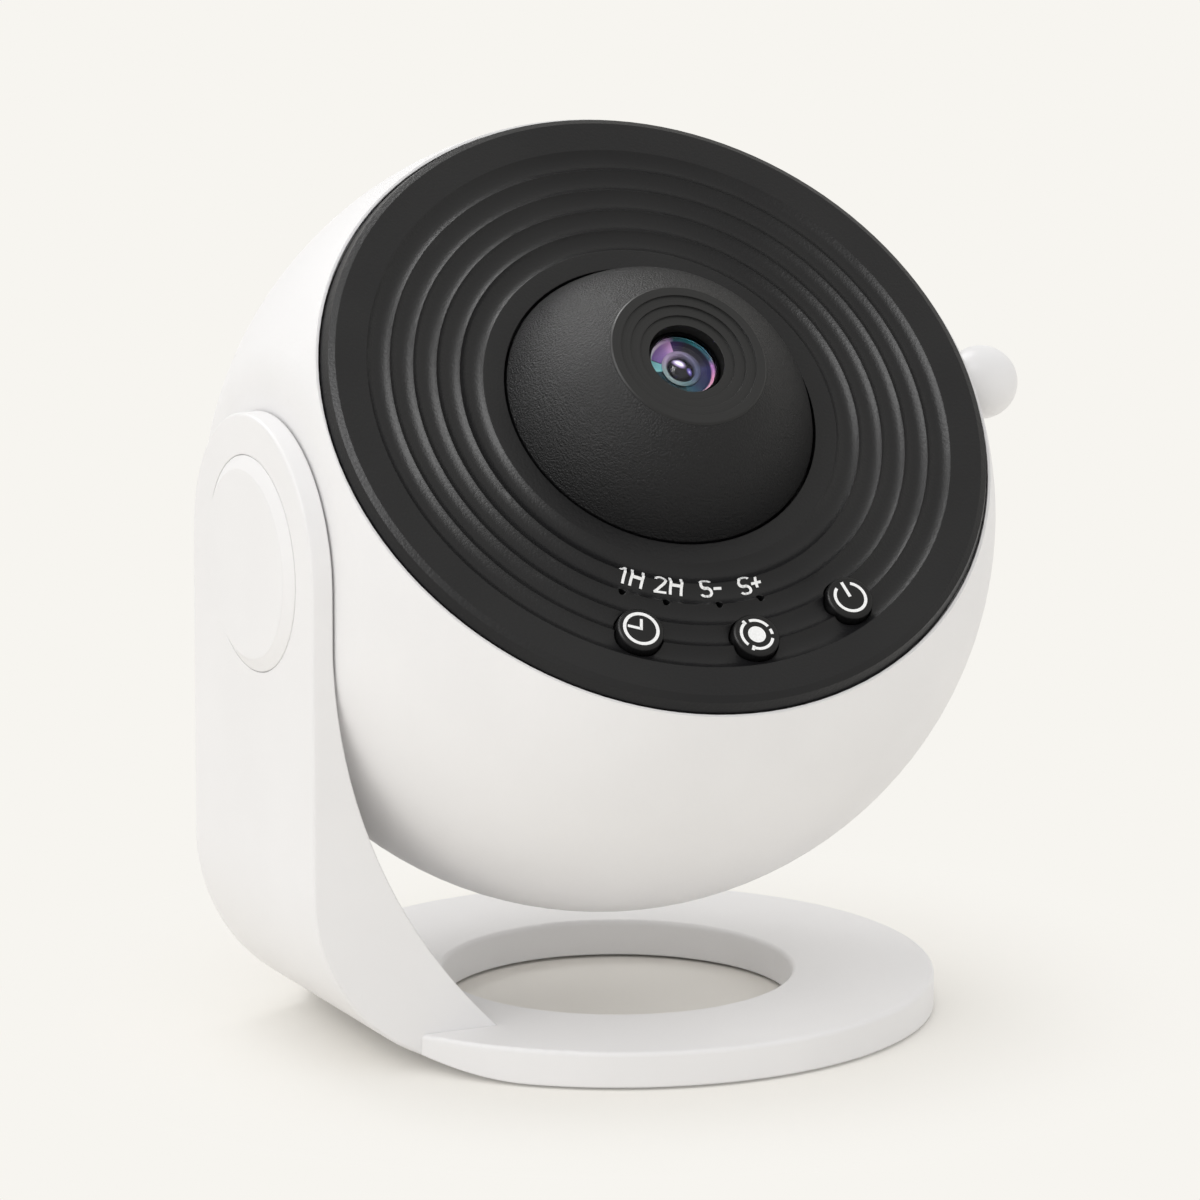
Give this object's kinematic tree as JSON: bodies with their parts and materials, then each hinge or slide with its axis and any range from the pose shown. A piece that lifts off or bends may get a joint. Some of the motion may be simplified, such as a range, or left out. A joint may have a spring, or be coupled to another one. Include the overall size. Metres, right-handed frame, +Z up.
{
  "type": "planetarium projector",
  "caption": "Ball-shaped star projector on a side arm over a ring base, with a tilting head, a domed front lens, a focus lever and push buttons.",
  "frame": {"origin": "centre of the base ring's opening, in the plane of the ring's underside; the rubber feet stand 0.5 mm lower", "axes": "+Z up; +X from the side arm towards the ball along the tilt axis; the lens faces -Y and up"},
  "size_m": [0.1427, 0.1302, 0.1494],
  "materials": {
    "stand_white": "satin moulded ABS",
    "shell_white": "fine-grained matte ABS",
    "knob_white": "satin",
    "foot_rubber": "matte",
    "plate_white": "matte",
    "plated_steel": "zinc plated",
    "washer_nylon": "moulded nylon",
    "panel_black": "satin moulded ABS with fine grain",
    "dome_black": "leather-grained",
    "hood_black": "turned, satin",
    "barrel_black": "matte anodised",
    "coated_glass": "multi-coated",
    "lens_glass": "polished",
    "inner_black": "matte",
    "gear_nylon": "moulded nylon",
    "film": "printed film",
    "board_white": "coated",
    "lamp_yellow": "silicone dome",
    "heat_sink_aluminium": "extruded",
    "motor_can": "drawn steel",
    "circuit_green": "solder mask",
    "button_black": "satin with printed mark"
  },
  "bodies": {
    "stand": {"stand_frame": "stand_white", "pivot_cap": "stand_white", "foot_pads": "foot_rubber", "base_plate": "plate_white", "ballast_ring": "plated_steel", "base_screws": "plated_steel", "pivot_bolt": "plated_steel", "arm_washer": "washer_nylon", "friction_washer": "washer_nylon", "spring_washer": "plated_steel", "pivot_nut": "plated_steel"},
    "focus": {"focus_ring": "gear_nylon", "focus_lever": "plated_steel", "focus_knob": "knob_white"},
    "lens": {"lens_barrel": "barrel_black", "front_lens": "coated_glass", "rear_lens": "lens_glass", "lens_retainer": "barrel_black", "focus_pin": "plated_steel"},
    "disc": {"disc_carrier": "gear_nylon", "film_disc": "film"},
    "pinion": {"motor_pinion": "gear_nylon"},
    "timer_key": {"timer_button": "button_black"},
    "rotation_key": {"rotation_button": "button_black"},
    "power_key": {"power_button": "button_black"},
    "head": {"pivot_bush": "washer_nylon", "main_shell": "shell_white", "rear_cover": "shell_white", "rear_cover_screws": "plated_steel", "dc_socket": "inner_black", "front_panel": "panel_black", "panel_screws": "plated_steel", "dome_screws": "plated_steel", "lens_dome": "dome_black", "lens_hood": "hood_black", "lens_tube": "inner_black", "tube_screws": "plated_steel", "optical_frame": "inner_black", "frame_screws": "plated_steel", "condenser_holder": "inner_black", "holder_screws": "plated_steel", "condenser_lens": "lens_glass", "led_board": "board_white", "led_emitter": "lamp_yellow", "heat_sink": "heat_sink_aluminium", "gear_motor": "motor_can", "motor_screws": "plated_steel", "main_board": "circuit_green", "board_screws": "plated_steel", "tact_switches": "inner_black", "indicator_leds": "lamp_yellow"}
  },
  "joints": [
    {"name": "head_tilt", "type": "hinge", "parent": "stand", "child": "head", "pos_m": [-0.0035, 0, 0.0847], "axis": [-1, 0, 0], "range_deg": [-54.3, 85.7]},
    {"name": "focus_turn", "type": "hinge", "parent": "head", "child": "focus", "pos_m": [-0.0035, -0.01753, 0.10181], "axis": [0, -0.7157, 0.6984], "range_deg": [-20, 20]},
    {"name": "lens_slide", "type": "slide", "parent": "head", "child": "lens", "axis": [0, -0.7157, 0.6984], "range_m": [-0.0015, 0.0015]},
    {"name": "disc_spin", "type": "hinge", "parent": "head", "child": "disc", "pos_m": [-0.0035, -0.00859, 0.09308], "axis": [0, -0.7157, 0.6984], "continuous": true},
    {"name": "pinion_spin", "type": "hinge", "parent": "head", "child": "pinion", "pos_m": [-0.02844, 0.00147, 0.10339], "axis": [0, -0.7157, 0.6984], "continuous": true},
    {"name": "timer_press", "type": "slide", "parent": "head", "child": "timer_key", "axis": [0, 0.7157, -0.6984], "range_m": [0, 0.0006], "stiffness_N_per_m": 800, "springref_m": -0.0005},
    {"name": "rotation_press", "type": "slide", "parent": "head", "child": "rotation_key", "axis": [0, 0.7157, -0.6984], "range_m": [0, 0.0006], "stiffness_N_per_m": 800, "springref_m": -0.0005},
    {"name": "power_press", "type": "slide", "parent": "head", "child": "power_key", "axis": [0, 0.7157, -0.6984], "range_m": [0, 0.0006], "stiffness_N_per_m": 800, "springref_m": -0.0005}
  ],
  "couplings": [
    {"joint": "lens_slide", "follows": "focus_turn", "m_per_rad": -0.004297},
    {"joint": "pinion_spin", "follows": "disc_spin", "ratio": -5}
  ]
}
